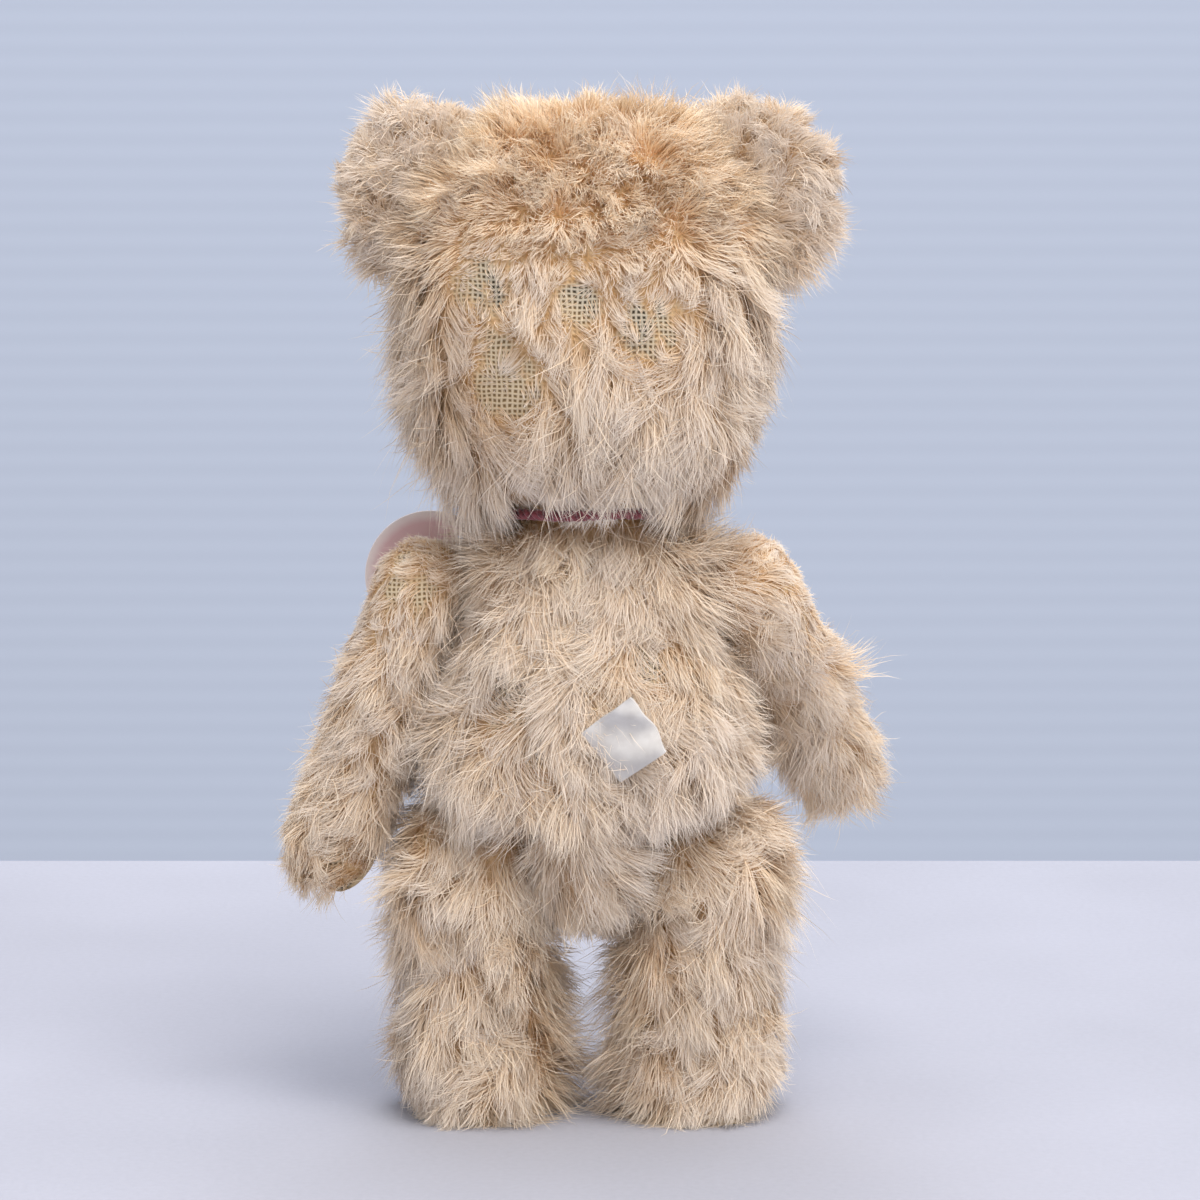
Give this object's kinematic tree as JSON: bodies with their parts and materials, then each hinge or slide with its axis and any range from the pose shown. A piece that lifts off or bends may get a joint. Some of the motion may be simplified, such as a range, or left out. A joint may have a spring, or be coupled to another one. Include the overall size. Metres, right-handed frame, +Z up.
{
  "type": "jointed teddy bear",
  "caption": "Small standing mohair teddy bear with disc joints at the neck, shoulders and hips, neck cord, swing tag and side label.",
  "frame": {"origin": "centre of the bear's box on the ground, between and behind the toes, at sole height", "axes": "+Z up the body, -Y the way the bear faces, +X its own left side"},
  "size_m": [0.0918, 0.0568, 0.1557],
  "materials": {
    "mohair": "woven cotton backing with a long, worn, pale honey mohair pile",
    "felt": "pressed wool felt, matt",
    "stuffing": "packed wood wool and cotton waste, hidden",
    "hardboard": "pressed fibre board, hidden",
    "steel": "plain zinc-dulled steel wire and washers, hidden",
    "cord": "matt burgundy twisted cotton cord",
    "satin": "white woven satin tape, soft sheen, blank",
    "tag_card": "pale pink card, satin varnish, blank",
    "thread": "waxed linen thread",
    "floss": "dark brown cotton embroidery floss, satin stitch",
    "eye_black": "polished black, glossy dome"
  },
  "bodies": {
    "torso": {"torso_panel_left": "mohair", "torso_panel_right": "mohair", "torso_stuffing": "stuffing", "back_closing_stitches": "thread", "label_tab": "satin", "neck_disc_body": "hardboard", "left_shoulder_disc_body": "hardboard", "right_shoulder_disc_body": "hardboard", "left_hip_disc_body": "hardboard", "right_hip_disc_body": "hardboard", "body_washers": "steel", "neck_cord": "cord", "cord_bow": "cord", "swing_tag": "tag_card", "tag_thread": "thread"},
    "head": {"head_panel_left": "mohair", "head_panel_right": "mohair", "head_gusset": "mohair", "left_ear_back": "mohair", "left_ear_front": "mohair", "right_ear_back": "mohair", "right_ear_front": "mohair", "left_eye": "eye_black", "right_eye": "eye_black", "nose_embroidery": "floss", "mouth_stitches": "floss", "head_stuffing": "stuffing", "neck_disc_head": "hardboard", "neck_washer_head": "steel", "neck_cotter_pin": "steel"},
    "left_arm": {"left_arm_outer_panel": "mohair", "left_arm_inner_panel": "mohair", "left_arm_stuffing": "stuffing", "left_arm_disc": "hardboard", "left_arm_washer": "steel", "left_arm_cotter_pin": "steel", "left_arm_paw_pad": "felt"},
    "right_arm": {"right_arm_outer_panel": "mohair", "right_arm_inner_panel": "mohair", "right_arm_stuffing": "stuffing", "right_arm_disc": "hardboard", "right_arm_washer": "steel", "right_arm_cotter_pin": "steel", "right_arm_paw_pad": "felt"},
    "left_leg": {"left_leg_outer_panel": "mohair", "left_leg_inner_panel": "mohair", "left_leg_stuffing": "stuffing", "left_leg_disc": "hardboard", "left_leg_washer": "steel", "left_leg_cotter_pin": "steel", "left_leg_sole": "felt"},
    "right_leg": {"right_leg_outer_panel": "mohair", "right_leg_inner_panel": "mohair", "right_leg_stuffing": "stuffing", "right_leg_disc": "hardboard", "right_leg_washer": "steel", "right_leg_cotter_pin": "steel", "right_leg_sole": "felt"}
  },
  "joints": [
    {"name": "head_turn", "type": "hinge", "parent": "torso", "child": "head", "pos_m": [-0.00022, 0.00527, 0.0954], "axis": [0, 0, 1], "continuous": true},
    {"name": "left_shoulder", "type": "hinge", "parent": "torso", "child": "left_arm", "pos_m": [0.0188, 0.00527, 0.079], "axis": [-0.944, 0, -0.3299], "range_deg": [-90, 90], "deforming": ["swing_tag", "tag_thread"]},
    {"name": "right_shoulder", "type": "hinge", "parent": "torso", "child": "right_arm", "pos_m": [-0.01924, 0.00527, 0.079], "axis": [-0.9187, 0, 0.395], "range_deg": [-125, 55]},
    {"name": "left_hip", "type": "hinge", "parent": "torso", "child": "left_leg", "pos_m": [0.00728, 0.00527, 0.038], "axis": [-1, 0, 0], "range_deg": [-40, 90]},
    {"name": "right_hip", "type": "hinge", "parent": "torso", "child": "right_leg", "pos_m": [-0.00772, 0.00527, 0.038], "axis": [-1, 0, 0], "range_deg": [-40, 90]}
  ]
}
